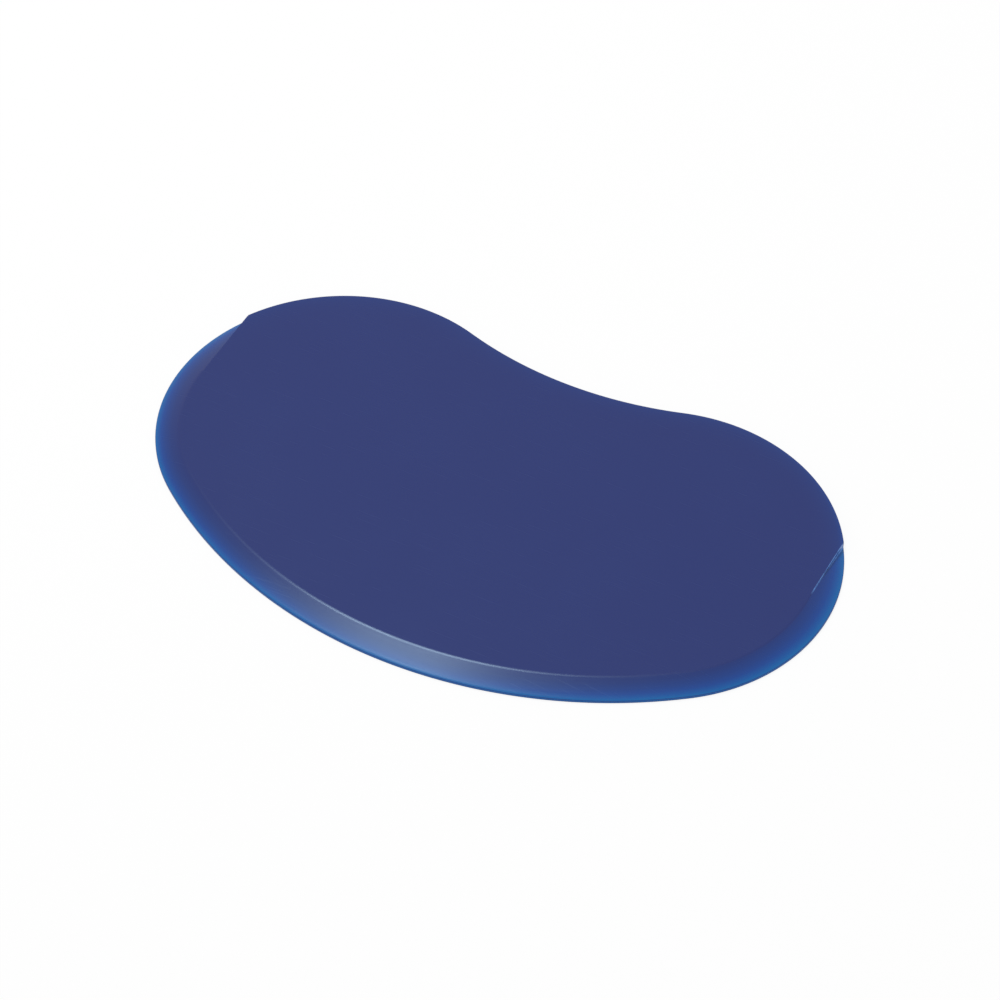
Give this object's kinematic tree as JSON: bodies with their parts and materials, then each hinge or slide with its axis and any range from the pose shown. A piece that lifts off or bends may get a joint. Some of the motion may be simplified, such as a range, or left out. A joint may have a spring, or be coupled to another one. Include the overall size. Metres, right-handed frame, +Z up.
{
  "type": "bowl scraper",
  "caption": "Kidney-shaped flexible plastic bowl scraper: a flat plate with rounded lobes, a hollow back and a bevelled, thinned working edge.",
  "frame": {"origin": "centre of the outline's box on the flat underside, at the plane the scraper lies on", "axes": "+X along the length between the two lobes, +Y from the curved working edge towards the hollow back, +Z up out of the bevelled face"},
  "size_m": [0.16, 0.095, 0.0023],
  "materials": {
    "blue_plastic": "satin dark blue polypropylene, slightly translucent, brighter blue where it thins to the bevelled edge"
  },
  "bodies": {
    "root": {"scraper_plate": "blue_plastic"}
  },
  "joints": []
}
